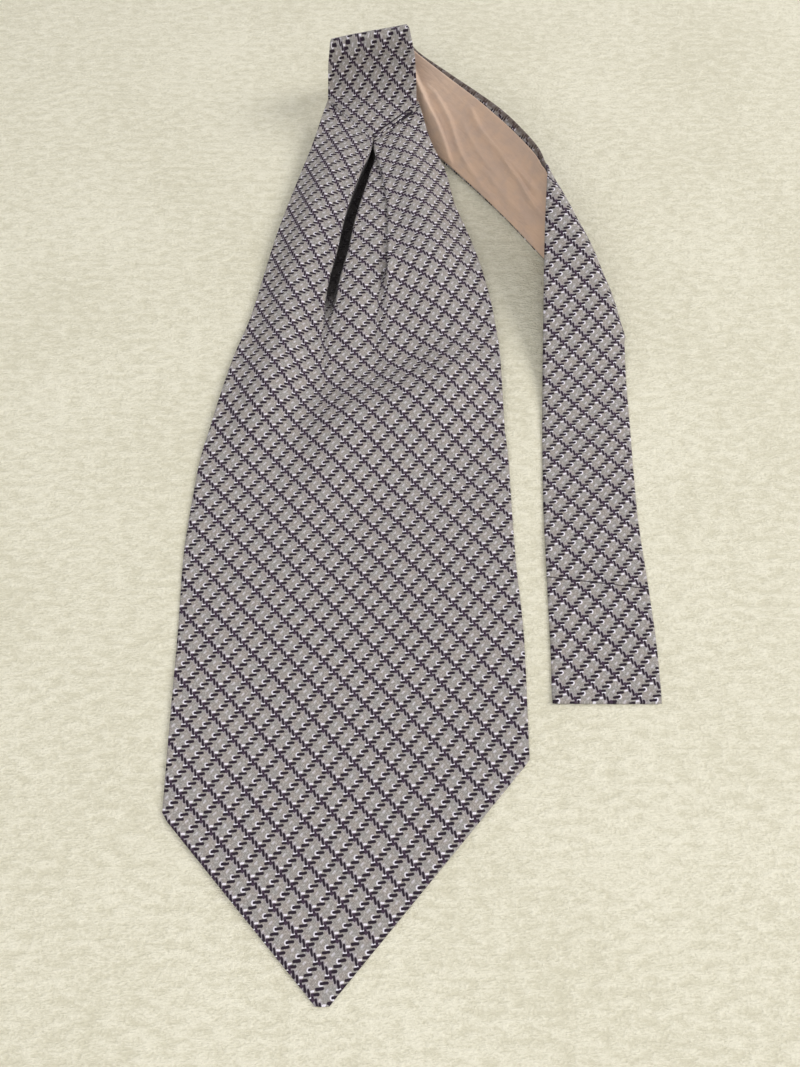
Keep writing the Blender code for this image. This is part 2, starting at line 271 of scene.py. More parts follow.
# The crease right of it: y, how far the fold turns, its depth
CREASE_COLUMNS = ("y", "turn", "depth")
CREASE_LEVELS = (
    (176, 0, 5), (202, 3, 5), (229, 7, 4.6), (250, 13, 4), (264, 22, 3.6), (273, 48, 3.4),
    (281, 104, 3.4), (289, 158, 3.8), (309, 176, 5.6), (343, 179, 9.4), (385, 180, 12),
)
SHOULDER = 1.4
BOTTOM_RADIUS = 0.7
CREASE_RADIUS = 0.55
SHORTEST_BEND = 0.9

# How much painted shade darkens the cloth along the slot's path, from its shoulder to the left
# fold, and along the crease's, from a few strips before its fold; and from what dip and what
# turn, in degrees, the whole of it is painted
SLOT_SHADE = np.array(
    [0, 0, 0.25, 0.6, 0.85] + [0.95] * 9 + [0.94] * 5 + [0.93] * 4
    + [0.85, 0.65, 0.4, 0.2, 0.06, 0, 0, 0, 0, 0]
)
CREASE_SHADE = np.array([0.10, 0.28, 0.55, 0.80] + [0.85] * 9 + [0.70, 0.40, 0.15, 0.03, 0])
CREASE_SHADE_BEFORE = 3
SLOT_DARK_AT = 60
CREASE_DARK_AT = 150

# Rows: their spacing on the flat cloth and in the pleat, and where the pleat's rows start
FLAT_ROW = 3.4
PLEAT_ROW = 1.6
PLEAT_ROWS_FROM = 140
BLADE_TOP = 385.1
CORNER_ROW = RIGHT_CORNER[1] + 0.5

# Above these levels a panel's cloth follows its fold, and slips against the middle strip
FOLLOWS_FROM = 150
SLIPS_FROM = 176

# The hump: its crest's y at x = 0 and the crest's climb, how far it reaches down and up
# the cloth, where it starts on the left, where it fades on the right, and how much there
HUMP_CREST = 204
HUMP_CLIMB = 0.42
HUMP_FRONT = 52
HUMP_BACK = 30
HUMP_HEIGHT = 7.4
HUMP_LEFT = (-62, -24)
HUMP_RIGHT = (16, 50)
HUMP_LOSS = 0.75

# Slow waves in the cloth: height, length across, length along and start, and how they
# come in above the point and go again under the neckband
BLADE_WAVES = (
    (0.30, 17, 31, 0.6), (0.26, 29, -19, 2.1), (0.18, 9.5, 41, 4.0), (0.16, -47, 12.5, 1.1),
)
BLADE_WAVES_MEAN = 0.7
BLADE_WAVES_SHARE = 0.7
WAVES_COME_IN = (-40, 10)
WAVES_GO = (330, 380)
WAVES_LOSS = 0.6

# The check, in millimetres of cloth: the two steps from knot to knot, and one knot's place
ACROSS = np.array((4.30, -4.38))
ALONG = np.array((6.17, 7.15))
BLADE_KNOT = (46.9, 36.65)

# Its dark floats lie four to a step along and stand three to a step across. Each has its
# two steps, its place from the knot, its angle, half its length and half its width.
LYING_FLOAT = (ACROSS + ALONG / 2, ALONG / 4, (-2.29, -3.55), 6.5, 1.08, 0.55)
STANDING_FLOAT = (ACROSS / 3, ALONG - ACROSS * 5 / 3, (1.35, -2.45), -77.4, 1.0, 0.475)

TAUPE_WARM = (0.358, 0.312, 0.278, 1)
TAUPE_COOL = (0.322, 0.312, 0.298, 1)
TAUPE_DARK = (0.228, 0.207, 0.198, 1)
TAUPE_PALE = (0.54, 0.515, 0.50, 1)
LILAC = (0.365, 0.314, 0.395, 1)
INK = (0.011, 0.005, 0.012, 1)
WORN_INK = (0.046, 0.026, 0.048, 1)
PALE_PICK = (0.84, 0.80, 0.88, 1)
# The near black that is painted as shade in the pleat's slot and crease
PLEAT_SHADE_DARK = (0.006, 0.004, 0.004, 1)


def columns(names, rows):
    """Turn a table's rows into one array of numbers for each named column."""
    return {name: np.array([row[i] for row in rows], float) for i, name in enumerate(names)}


def curve_at(positions, values, tangents, at):
    """Read a curve with known tangents at places between its rows."""
    i = np.clip(np.searchsorted(positions, at) - 1, 0, len(positions) - 2)
    gap = positions[i + 1] - positions[i]
    t = (at - positions[i]) / gap
    return (
        (1 + 2 * t) * (1 - t) ** 2 * values[i]
        + t * (1 - t) ** 2 * gap * tangents[i]
        + t * t * (3 - 2 * t) * values[i + 1]
        - t * t * (1 - t) * gap * tangents[i + 1]
    )


def smooth(positions, values, at):
    """Read a table between its rows along a curve that doesn't swing past them."""
    slopes = np.diff(values) / np.diff(positions)
    before, after = slopes[:-1], slopes[1:]
    turning = before * after <= 0
    total = np.where(turning, 1, before + after)
    inner = np.where(turning, 0, 2 * before * after / total)
    tangents = np.concatenate([slopes[:1], inner, slopes[-1:]])
    return curve_at(positions, values, tangents, at)


def soft_step(low, high, at):
    """Rise softly from 0 at low to 1 at high."""
    t = np.clip((np.asarray(at, float) - low) / (high - low), 0, 1)
    return t * t * (3 - 2 * t)


def waves(table, x, y):
    """Add up slow waves over the cloth."""
    return sum(height * np.sin(x / across + y / along + start)
               for height, across, along, start in table)


def bend(start, end, radius, strips):
    """Turn a path from one heading to another, in degrees, on one radius."""
    headings = np.radians(start + (end - start) * (np.arange(strips) + 0.5) / strips)
    length = max(radius * abs(math.radians(end - start)), SHORTEST_BEND) / strips
    return [(length, heading) for heading in headings]


def leg(heading, length, strips):
    """Run a path straight on."""
    return [(length / strips, math.radians(heading))] * strips


def walk(path):
    """Follow a path's steps, and give each place outwards and upwards."""
    steps = np.array(path)
    out = np.cumsum(steps[:, 0] * np.cos(steps[:, 1]))
    up = np.cumsum(steps[:, 0] * np.sin(steps[:, 1]))
    return out, up


def slot_path(slot):
    """Trace the slot: over the shoulder, down, along the bottom and up to the left fold."""
    dip, turn = slot["dip"], slot["turn"]
    path = bend(0, -dip, SHOULDER, 5) + leg(-dip, slot["down"], 4)
    path += bend(-dip, 0, BOTTOM_RADIUS, 3) + leg(0, slot["floor"], 2)
    path += bend(0, turn, BOTTOM_RADIUS, 5) + leg(turn, slot["up"], 7)
    return walk(path + bend(turn, 0, slot["radius"], 7))


def crease_path(crease):
    """Trace the right fold, which is pressed flat on the middle strip."""
    path = bend(0, crease["turn"], CREASE_RADIUS, 5) + leg(crease["turn"], crease["depth"], 4)
    return walk(path + bend(crease["turn"], 0, CREASE_RADIUS, 5))


def blade_panel(side, level, fold):
    """Run one panel from its fold out to the blade's edge, with its own lean and roll."""
    lean = math.tan(math.radians(level[side + "_lean"]))
    fold_x, y, fold_z = fold
    edge_y = y
    for _ in range(6):
        edge_x = smooth(sides["y"], sides[side], edge_y)
        edge_y = y + lean * abs(edge_x - fold_x)
    q = np.arange(1, PANEL_STRIPS + 1) / PANEL_STRIPS
    x = fold_x + (edge_x - fold_x) * q
    roll = level[side + "_roll"] * np.sin(math.pi * q) ** 2
    z = fold_z + (level[side + "_edge"] - fold_z) * q + roll
    return np.stack([x, y + lean * abs(x - fold_x), z], 1)


def blade_row(y):
    """Trace the cloth across at one level, from the left edge to the right, and its painted
    shade.
    """
    flat = max(y, pleat["y"][0])
    level = {name: smooth(pleat["y"], values, flat) for name, values in pleat.items()}
    flat = max(y, slots["y"][0])
    slot = {name: smooth(slots["y"], values, flat) for name, values in slots.items()}
    crease = {name: smooth(creases["y"], values, flat) for name, values in creases.items()}
    out, up = slot_path(slot)
    left_start = level["left_fold"] + out[-1]
    left_fold = np.stack([left_start - out, np.full(len(out), y), level["z"] + up], 1)
    out, up = crease_path(crease)
    right_start = level["right_fold"] - out[-1]
    right_fold = np.stack([right_start + out, np.full(len(out), y), level["z"] + up], 1)
    q = np.linspace(0, 1, MIDDLE_STRIPS + 1)
    middle = np.stack([
        left_start + (right_start - left_start) * q,
        np.full(len(q), y),
        level["z"] + level["crown"] * np.sin(math.pi * q),
    ], 1)
    left_fold[:, 2] = np.maximum(left_fold[:, 2], CLOTH / 2)
    left = np.concatenate([left_fold, blade_panel("left", level, left_fold[-1])])
    right = np.concatenate([right_fold, blade_panel("right", level, right_fold[-1])])
    shade = np.zeros(len(left) + len(middle) + len(right))
    shade[PANEL_STRIPS:len(left)] = SLOT_SHADE[::-1] * min(slot["dip"] / SLOT_DARK_AT, 1)
    start = len(left) + MIDDLE_STRIPS - CREASE_SHADE_BEFORE
    crease_dark = min(crease["turn"] / CREASE_DARK_AT, 1)
    shade[start:start + len(CREASE_SHADE)] = CREASE_SHADE * crease_dark
    return np.concatenate([left[::-1], middle, right]), shade


def shell(name, grid, cloth, thickness, shade=None):
    """Make a closed sheet on a grid of places, with rounded edges, cloth coordinates and, if
    given, painted shade.
    """
    rows, across = grid.shape[:2]
    normals = np.cross(np.gradient(grid, axis=1), np.gradient(grid, axis=0))
    normals /= np.linalg.norm(normals, axis=2, keepdims=True)
    outward = np.zeros_like(grid)
    for edge, beside in (
        (np.s_[0], np.s_[1]), (np.s_[-1], np.s_[-2]),
        (np.s_[:, 0], np.s_[:, 1]), (np.s_[:, -1], np.s_[:, -2]),
    ):
        away = grid[edge] - grid[beside]
        outward[edge] += away / np.linalg.norm(away, axis=1, keepdims=True)
    index = np.arange(rows * across).reshape(rows, across)
    rim = np.concatenate([index[0, :-1], index[:-1, -1], index[-1, :0:-1], index[:0:-1, 0]])
    outward = outward.reshape(-1, 3)[rim]
    outward /= np.linalg.norm(outward, axis=1, keepdims=True)
    half = np.broadcast_to(thickness, grid.shape[:2])[:, :, None] / 2
    edge_places = grid.reshape(-1, 3)[rim] + outward * half.reshape(-1, 1)[rim]
    front = (grid + normals * half).reshape(-1, 3)
    back = (grid - normals * half).reshape(-1, 3)
    places = (np.concatenate([front, back, edge_places]) - PLAN_MIDDLE) / 1000
    corners = index[:-1, :-1], index[:-1, 1:], index[1:, 1:], index[1:, :-1]
    quads = np.stack(corners, -1).reshape(-1, 4)
    behind = rows * across
    here, after = rim, np.roll(rim, -1)
    middle = 2 * behind + np.arange(len(rim))
    middle_after = np.roll(middle, -1)
    faces = np.concatenate([
        quads,
        quads[:, ::-1] + behind,
        np.stack([after, here, middle, middle_after], 1),
        np.stack([middle_after, middle, here + behind, after + behind], 1),
    ])
    mesh = bpy.data.meshes.new(name)
    mesh.from_pydata(places.tolist(), [], faces.tolist())
    mesh.shade_smooth()
    cloth = cloth.reshape(-1, 2)
    cloth = np.concatenate([cloth, cloth, cloth[rim]])
    layer = mesh.uv_layers.new(name="cloth")
    corner_places = np.empty(len(mesh.loops), dtype=int)
    mesh.loops.foreach_get("vertex_index", corner_places)
    layer.data.foreach_set("uv", cloth[corner_places].ravel())
    if shade is not None:
        shade = shade.ravel()
        shade = np.concatenate([shade, shade, shade[rim]])
        pleat_painted_shade = mesh.attributes.new("pleat_painted_shade", "FLOAT", "POINT")
        pleat_painted_shade.data.foreach_set("value", shade)
    piece = bpy.data.objects.new(name, mesh)
    bpy.context.collection.objects.link(piece)
    return piece


def check_finish(name, knot, has_painted_shade=False, marks=()):
    """Make the woven check's finish: dark dashes and pale picks on a taupe ground.

    The knot is where one of the check's knots lies, in cloth coordinates. The piece's painted
    shade, where it has one, darkens the pleat's slot and crease. A mark is a line drawn into the
    cloth's colour, either painted shade along an edge or crease, or a seam's dark line: its two
    ends in cloth coordinates, half its width, its softness, how strong it is and its colour.
    """
    material, shader = new_finish(name, 0.85, 0.04)
    cloth = read_piece(material, "ShaderNodeUVMap", "UV", uv_map="cloth")
    wobble_x = cloth.noise(0.55, 1.0)
    wobble_y = cloth.vector("ADD", (37, 11, 0)).noise(0.55, 1.0)
    x = cloth.part(0) + (wobble_x - 0.5) * 0.5
    y = cloth.part(1) + (wobble_y - 0.5) * 0.5

    def repeat(first, second, centre):
        """Give the place within one repeat of two steps, centred on one place."""
        area = first[0] * second[1] - first[1] * second[0]
        cx, cy = knot[0] + centre[0], knot[1] + centre[1]
        s_start = (cx * second[1] - cy * second[0]) / area
        t_start = (cy * first[0] - cx * first[1]) / area
        s = x * (second[1] / area) + y * (-second[0] / area) - s_start
        t = y * (first[0] / area) + x * (-first[1] / area) - t_start
        s = s - s.maths("ROUND")
        t = t - t.maths("ROUND")
        return s * first[0] + t * second[0], s * first[1] + t * second[1]

    def dash(place, centre, angle, half, radius, softness=0.16):
        """Draw one thread's float: a short line with round ends."""
        cos, sin = math.cos(math.radians(angle)), math.sin(math.radians(angle))
        px, py = place
        if centre != (0, 0):
            px, py = px - centre[0], py - centre[1]
        lengthwise = (px * cos + py * sin).maths("ABSOLUTE") - half
        past_end = lengthwise.maths("MAXIMUM", 0.0)
        sideways = py * cos - px * sin
        distance = (past_end * past_end + sideways * sideways).maths("SQRT")
        return distance.step(radius + softness, radius - softness)

    # Dark floats, and the lilac round the standing ones
    floats = []
    for first, second, centre, angle, half, radius in (LYING_FLOAT, STANDING_FLOAT):
        place = repeat(first, second, centre)
        floats.append(dash(place, (0, 0), angle, half, radius, 0.13))
    lying, standing = floats
    halo = dash(place, (0, 0), angle, half, 0.9, 0.5)

    # Pale floats: a crescent at one dark float's end, and a cap and a pick at the knot
    near = repeat(ACROSS, ALONG, (-1.6, -1.6))
    cap = dash(near, (1.42, 2.66), 4, 0.42, 0.34)
    pick = dash(near, (0.22, 0.51), 0, 0.50, 0.36)
    arc_x, arc_y = near[0] + 1.86, near[1] + 2.10
    reach = (arc_x * arc_x + arc_y * arc_y).maths("SQRT")
    crescent = reach.step(1.16, 0.76) * (arc_x * 0.92 + arc_y * 0.39).step(0.95, 0.35)
    far = repeat(ACROSS, ALONG, (-3.75, 0.59))
    fleck = dash(far, (-1.7, -2.2), 50, 0.42, 0.34, 0.34)
    faint = dash(far, (1.98, 2.13), 48, 0.3, 0.26, 0.26)
    strong = (crescent * 0.85).maths("MAXIMUM", cap * 0.9).maths("MAXIMUM", pick * 0.9)
    weak = (fleck * 0.42).maths("MAXIMUM", faint * 0.36)
    pale = strong.maths("MAXIMUM", weak)
    dark = lying.maths("MAXIMUM", standing)

    # The ground: fine threads both ways, and faint warm and cool patches
    turned = repeat(ACROSS / 9, ALONG / 14, (0, 0))
    thread = (turned[0] * turned[0] + turned[1] * turned[1]).maths("SQRT")
    grain = thread.step(0.42, 0.08)
    mottle = cloth.noise(0.22, 3.0, 0.7).step(0.38, 0.62)
    speckle = cloth.noise(1.3, 2.0, 0.7)
    ground = mottle.mixed(TAUPE_WARM, TAUPE_COOL)
    ground = (speckle.step(0.32, 0.62) * 0.6 + grain * 0.3).mixed(TAUPE_DARK, ground)
    ground = (speckle.step(0.50, 0.74) * 0.7).mixed(ground, TAUPE_PALE)
    ground = (halo * 0.42).mixed(ground, LILAC)
    ink = (lying * standing + speckle * 0.3).mixed(INK, WORN_INK)
    picked = pale.mixed(ground, PALE_PICK)
    colour = dark.mixed(picked, ink)
    for start, end, radius, softness, strength, tint in marks:
        middle, span = (start + end) / 2, end - start
        angle = math.degrees(math.atan2(span[1], span[0]))
        line = dash((x, y), tuple(middle), angle, np.linalg.norm(span) / 2, radius, softness)
        colour = (line * strength).mixed(colour, tint)
    # Painted shade: the pleat's slot and crease are darkened towards near black, standing in for
    # the shade inside the folds
    if has_painted_shade:
        shade = read_piece(material, "ShaderNodeAttribute", "Fac", attribute_name="pleat_painted_shade")
        colour = shade.mixed(colour, PLEAT_SHADE_DARK)
    height = grain * 0.5 + dark * 0.35 + pale * 0.6
    wear(shader, colour, height, strength=0.5, distance=0.00035)
    return material


sides = {name: np.array(values, float) for name, values in BLADE_SIDES.items()}
pleat = columns(PLEAT_COLUMNS, PLEAT_LEVELS)
slots = columns(SLOT_COLUMNS, SLOT_LEVELS)
creases = columns(CREASE_COLUMNS, CREASE_LEVELS)
levels = np.concatenate([
    np.arange(TIP[1] + CLOTH, RIGHT_CORNER[1], FLAT_ROW),
    np.arange(CORNER_ROW, PLEAT_ROWS_FROM, FLAT_ROW),
    np.arange(PLEAT_ROWS_FROM, BLADE_TOP, PLEAT_ROW),
])
corner_row, _ = blade_row(CORNER_ROW)
shares = (corner_row[:, 0] - corner_row[0, 0]) / (corner_row[-1, 0] - corner_row[0, 0])
blade_places, blade_shade = [], []
for y in levels:
    if y > RIGHT_CORNER[1]:
        row, shade = blade_row(y)
    else:
        left_x = TIP[0] - TIP_WIDTH / 2, LEFT_CORNER[0], corner_row[0, 0]
        left = np.interp(y, (TIP[1], LEFT_CORNER[1], RIGHT_CORNER[1]), left_x)
        right_x = TIP[0] + TIP_WIDTH / 2, RIGHT_CORNER[0]
        right = np.interp(y, (TIP[1], RIGHT_CORNER[1]), right_x)
        row = corner_row.copy()
        row[:, 0] = left + (right - left) * shares
        row[:, 1] = y
        shade = np.zeros(len(row))
    blade_places.append(row)
    blade_shade.append(shade)
blade_grid = np.array(blade_places)
blade_shade = np.array(blade_shade)

# Cloth coordinates: across the middle strip and the flat cloth they are plain distances.
# On each panel they follow its lean, counted from its fold.
lengths = np.linalg.norm(np.diff(blade_grid, axis=1), axis=2)
arc = np.concatenate([np.zeros((len(levels), 1)), np.cumsum(lengths, axis=1)], axis=1)
left_end = PANEL_STRIPS
middle_from = left_end + len(SLOT_SHADE)
middle_to = middle_from + MIDDLE_STRIPS
right_from = len(blade_grid[0]) - 1 - PANEL_STRIPS
strip_numbers = np.arange(len(blade_grid[0]))
in_middle = arc - arc[:, [middle_from]] + (blade_grid[:, [middle_from], 0] - MIDDLE_X)
cloth_x = in_middle.copy()
for side, fold, middle_end, sign in (
    ("left", left_end, middle_from, -1),
    ("right", right_from, middle_to, 1),
):
    in_pleat = np.maximum(levels, pleat["y"][0])
    lean = np.radians(smooth(pleat["y"], pleat[side + "_lean"], in_pleat))
    fold_x = blade_grid[:, fold, 0]
    step_x = np.diff(fold_x, prepend=fold_x[0])
    step_y = np.diff(levels, prepend=levels[0])
    stride = np.cos(lean) * step_x + sign * np.sin(lean) * step_y
    followed = np.cumsum(np.where(levels > FOLLOWS_FROM, stride, 0))
    anchor = in_middle[:, fold]
    slips = levels > SLIPS_FROM
    at_fold = anchor[~slips][-1] + followed - followed[~slips][-1]
    shift = np.where(slips, at_fold, anchor) - anchor
    blend = (strip_numbers - middle_end) / (fold - middle_end)
    blend = np.clip(blend, 0, 1)
    cloth_x += shift[:, None] * blend[None, :]
cloth_y = np.repeat(levels[:, None], cloth_x.shape[1], axis=1)
pointed = levels <= RIGHT_CORNER[1]
cloth_x[pointed] = blade_grid[pointed][:, :, 0] - MIDDLE_X
blade_cloth = np.stack([cloth_x, cloth_y], -1)

# The hump rises slowly, and falls steeply into the trough above it. The rest of the cloth
# isn't quite flat.
x, y = blade_grid[:, :, 0], blade_grid[:, :, 1]
beyond = y - (HUMP_CREST + HUMP_CLIMB * x)
front = soft_step(-HUMP_FRONT, 0, beyond)
behind = 1 - soft_step(0, HUMP_BACK, beyond)
spread = soft_step(*HUMP_LEFT, x) * (1 - HUMP_LOSS * soft_step(*HUMP_RIGHT, x))
blade_grid[:, :, 2] += HUMP_HEIGHT * front * behind * spread
share = soft_step(*WAVES_COME_IN, y) * (1 - WAVES_LOSS * soft_step(*WAVES_GO, y))
unevenness = waves(BLADE_WAVES, x, y) + BLADE_WAVES_MEAN
blade_grid[:, :, 2] += unevenness * share * BLADE_WAVES_SHARE
blade_grid[:, :, 2] = np.maximum(blade_grid[:, :, 2], CLOTH / 2)

blade = shell("blade_cloth", blade_grid, blade_cloth, CLOTH, blade_shade)
blade.data.materials.append(check_finish("blade_check", BLADE_KNOT, has_painted_shade=True))
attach(blade, "root")
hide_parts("blade")

# The neckband is one long band of the same check. Its V-pointed end is sewn over the
# pleat and stands up as a tab; it loops over, comes down behind with its inner side up,
# folds once more on the right and runs down to a squared end.
BAND_CLOTH = 1.3
V_CLOTH = 0.7

# Straight rulings cross the band from its left edge to its right: the places of their two
# ends, how far the cloth rises between them, and the cloth's width there
BAND_COLUMNS = ("left_x", "left_y", "left_z", "right_x", "right_y", "right_z", "crown", "width")
BAND_RULINGS = (
    (-39.3, 397, 14.6, 8.3, 387.4, 17, 0.4, 50),
    (-39, 398.6, 17.4, 8.3, 391.4, 21.6, 0.2, 50.5),
    (-38.6, 400, 22.6, 8, 394.5, 28.6, -0.4, 51),
    (-38, 402, 29.6, 7.2, 397.2, 38, 0.2, 51),
    (-37, 402.8, 36, 5.4, 397.8, 46.6, 0.6, 50),
    (-36.4, 405, 39.4, 4.1, 399.8, 51.2, 0.4, 48),
    (-36.2, 409.6, 37.4, 3.2, 405, 49, 0, 42),
    (-35.8, 414.6, 30.6, 2.4, 411.6, 42.2, 0, 41),
    (-34.4, 419, 18.4, 2.2, 420, 33.6, 0, 40),
    (-27.4, 419.4, 6.6, 4.2, 428, 24.8, 0, 39),
    (-17.4, 411.6, 1.8, 10.2, 423.4, 20.4, 0.6, 38.5),
    (2, 391, 1.1, 27.2, 403.2, 22.4, 1, 38.5),
    (17.8, 370, 0.9, 42.7, 384.2, 25, 1.2, 38.5),
    (29.8, 356, 0.9, 53.2, 369, 27.6, 1.2, 38.5),
    (42, 341, 0.9, 62.6, 351.6, 30.6, 1.4, 38.5),
    (53, 326.5, 0.9, 69.2, 336, 32.8, 1.8, 38.5),
    (61.2, 315, 0.9, 71.4, 325.6, 34, 2.4, 38.5),
    (77, 291, 0.9, 72.2, 322.6, 34.8, 3.2, 38.5),
    (94, 264, 1.1, 72.6, 320.4, 35.2, 3.9, 38.5),
    (105.8, 246.6, 2.4, 72.8, 318.2, 35.3, 4.2, 38.5),
    (108.9, 242.4, 5, 72.7, 315.4, 34.9, 4.1, 38.5),
    (108.9, 240, 6.3, 72.2, 310, 33, 3.6, 38.5),
    (108.6, 238.4, 6.1, 71.3, 293, 26.6, 2.6, 38.5),
    (108.4, 236, 5.4, 70.6, 270, 18.2, 1.8, 38.5),
    (108.2, 231, 4.4, 70.1, 248, 10.8, 1.1, 38.5),
    (108, 220, 2.6, 69.4, 228, 5, 0.5, 38.8),
    (107.8, 204, 1.1, 68.4, 208, 1.4, 0.2, 39.4),
    (107.2, 188, 0.7, 67.2, 190, 0.7, 0, 40),
    (105.7, 150, 0.7, 65, 150, 0.7, 0, 40.7),
    (106.5, 110, 0.7, 64, 110, 0.7, 0, 42.5),
    (106.6, 85, 0.7, 63.4, 85, 0.7, 0, 43.2),
    (106, 64.5, 0.7, 62.4, 64.5, 0.7, 0, 43.6),
)
BAND_STRIPS = 28
ROWS_PER_RULING = 8

# The V end: its point, how far its arms' ends hang below the first ruling, where the
# point is blunted, and its rows
V_POINT = np.array((-14.4, 364.6, 12.0))
V_CORNER_DROP = np.array((0, -3.4, -0.9))
V_BLUNT_AT = 366.4
V_ROWS = 14

BAND_KNOT = (0.0, 0.0)
TAB_STRETCH = 0.95
TAB_LENGTH = 40
V_SHEAR_FADES = 60
TURN_RULINGS = (17, 24.5)

# Slow waves in the band, as in the blade, and where they come in along it; and where the
# cloth grows from one layer at the V end to the band's own thickness
BAND_WAVES = ((0.22, 13, 11, 0), (0.16, -8, 5.6, 1.3))
BAND_WAVES_MEAN = 0.1
BAND_WAVES_COME_IN = (0, 20)
BAND_THICKENS = (-22, 4)

# Lines of painted shade beside the V's arms, at its edge and along its pressed crease, each with
# its inset from the edge, half its width and its strength; and the seam's dark line and the
# rolled edge's painted shade, with where they run, half their width, their softness and their
# strength
SHADE_AND_SEAM_DARK = (0.012, 0.007, 0.014, 1)
V_LEFT_SHADE_LINES = ((0.3, 0.36, 0.5),)
V_RIGHT_SHADE_LINES = ((0.15, 0.5, 1.0), (2.3, 0.46, 1.0))
V_SHADE_SOFTNESS = 0.2
SEAM_AT = (113.0, 118.6)
SEAM_ROWS = 100
SEAM_REACH = 21.6
SEAM_LINE = (0.27, 0.2, 0.9)
ROLLED_EDGE_SHADE = (0.10, 0.07, 0.055, 1)
ROLLED_RULINGS = np.array((9.5, 16.6))
ROLLED_INSET = 0.4
ROLLED_SHADE_LINE = (1.3, 0.7, 0.75)


def round_through(positions, values, at):
    """Read a table between its rows along a round curve through all of them."""
    return curve_at(positions, values, np.gradient(values, positions), at)


def band_rows(start, end, rows_per_ruling=ROWS_PER_RULING, strips=BAND_STRIPS):
    """Give the neckband's places and cloth coordinates between two rulings."""
    rulings = np.arange(len(BAND_RULINGS), dtype=float)
    stops = np.linspace(start, end, max(2, round((end - start) * rows_per_ruling)) + 1)
    here = {name: round_through(rulings, values, stops) for name, values in band.items()}
    left = np.stack([here["left_x"], here["left_y"], here["left_z"]], 1)
    right = np.stack([here["right_x"], here["right_y"], here["right_z"]], 1)
    q = np.linspace(0, 1, strips + 1)
    grid = left[:, None] + (right - left)[:, None] * q[None, :, None]
    normals = np.cross(right - left, np.gradient(grid[:, strips // 2], axis=0))
    normals /= np.linalg.norm(normals, axis=1, keepdims=True)
    bow = smooth(rulings, band["crown"], stops)[:, None] * (4 * q * (1 - q))[None, :]
    grid += normals[:, None] * bow[:, :, None]
    grid[:, :, 2] = np.maximum(grid[:, :, 2], BAND_CLOTH / 2)
    return grid, here["width"], q


def run_length(places):
    """Give the distance travelled along a line of places."""
    steps = np.linalg.norm(np.diff(places, axis=0), axis=1)
    return np.concatenate([[0], np.cumsum(steps)])


band = columns(BAND_COLUMNS, BAND_RULINGS)
band_grid, band_width, q = band_rows(0, len(BAND_RULINGS) - 1)
first = band_grid[0]
left_run = run_length(band_grid[:, 0])
left_run += (first[0][1] - first[-1][1]) * (1 - soft_step(0, V_SHEAR_FADES, left_run))
right_run = run_length(band_grid[:, -1])
band_run = left_run[:, None] + (right_run - left_run)[:, None] * q[None, :]
band_run -= (1 - TAB_STRETCH) * np.clip(band_run, 0, TAB_LENGTH)
band_cloth = np.stack([band_width[:, None] * (q - 0.5)[None, :], band_run], -1)

# Round the turn on the right the rulings lie aslant, so the cloth there is counted square
# to them, along the roll itself
turn_rows = slice(*(int(ruling * ROWS_PER_RULING) for ruling in TURN_RULINGS))
aslant = band_cloth[1:, -1] - band_cloth[1:, 0]
square = np.stack([-aslant[:, 1], aslant[:, 0]], -1)
square /= np.linalg.norm(aslant, axis=1, keepdims=True)
across_band = band_grid[1:, -1] - band_grid[1:, 0]
across_band /= np.linalg.norm(across_band, axis=1, keepdims=True)
stride = np.diff(band_grid[:, BAND_STRIPS // 2], axis=0)
stride -= across_band * np.sum(stride * across_band, axis=1, keepdims=True)
counted = np.sum(np.diff(band_cloth[:, BAND_STRIPS // 2], axis=0) * square, axis=1)
missing = np.zeros(len(counted))
missing[turn_rows] = np.maximum(np.linalg.norm(stride, axis=1) - counted, 0)[turn_rows]
turn_slip = np.concatenate([[(0, 0)], np.cumsum(missing[:, None] * square, axis=0)])
band_cloth += turn_slip[:, None]

# The V end hangs from the first ruling, and its rows run from its edge up to that ruling
left_corner, right_corner = first[0] + V_CORNER_DROP, first[-1] + V_CORNER_DROP
along_left = left_corner + (V_POINT - left_corner) * np.clip(q * 2, 0, 1)[:, None]
v_edge = along_left + (right_corner - V_POINT) * np.clip(q * 2 - 1, 0, 1)[:, None]
v_edge[:, 1] = np.maximum(v_edge[:, 1], V_BLUNT_AT)
share = (np.arange(V_ROWS) / V_ROWS)[:, None, None]
v_grid = v_edge[None] + (first - v_edge)[None] * share
v_drop = np.linalg.norm(first - v_edge, axis=1)
v_cloth = np.stack([
    np.repeat(band_cloth[0][None, :, 0], V_ROWS, axis=0),
    band_cloth[0][None, :, 1] - (1 - share[:, :, 0]) * v_drop[None, :],
], -1)
band_grid = np.concatenate([v_grid, band_grid])
band_cloth = np.concatenate([v_cloth, band_cloth])
x, y = band_cloth[:, :, 0], band_cloth[:, :, 1]
ripple = waves(BAND_WAVES, x, y) + BAND_WAVES_MEAN
ripple *= soft_step(*BAND_WAVES_COME_IN, y)
band_normals = np.cross(np.gradient(band_grid, axis=1), np.gradient(band_grid, axis=0))
band_normals /= np.linalg.norm(band_normals, axis=2, keepdims=True)
band_grid += band_normals * ripple[:, :, None]
band_grid[:, :, 2] = np.maximum(band_grid[:, :, 2], BAND_CLOTH / 2)

band_thickness = V_CLOTH + (BAND_CLOTH - V_CLOTH) * soft_step(*BAND_THICKENS, y)
neckband = shell("neckband_cloth", band_grid, band_cloth, band_thickness)

marks = []
# The V's arms get lines of painted shade: at their edge, and on the right also along the pressed
# crease further in
tip = v_cloth[0][BAND_STRIPS // 2]
for corner, lines in ((v_cloth[0][1], V_LEFT_SHADE_LINES), (v_cloth[0][-2], V_RIGHT_SHADE_LINES)):
    arm = (corner - tip) / np.linalg.norm(corner - tip)
    inward = np.array((-arm[1], arm[0])) * np.sign(arm[0])
    for inset, half_width, strength in lines:
        ends = tip + inward * inset + arm, corner + inward * inset
        marks.append((*ends, half_width, V_SHADE_SOFTNESS, strength, SHADE_AND_SEAM_DARK))
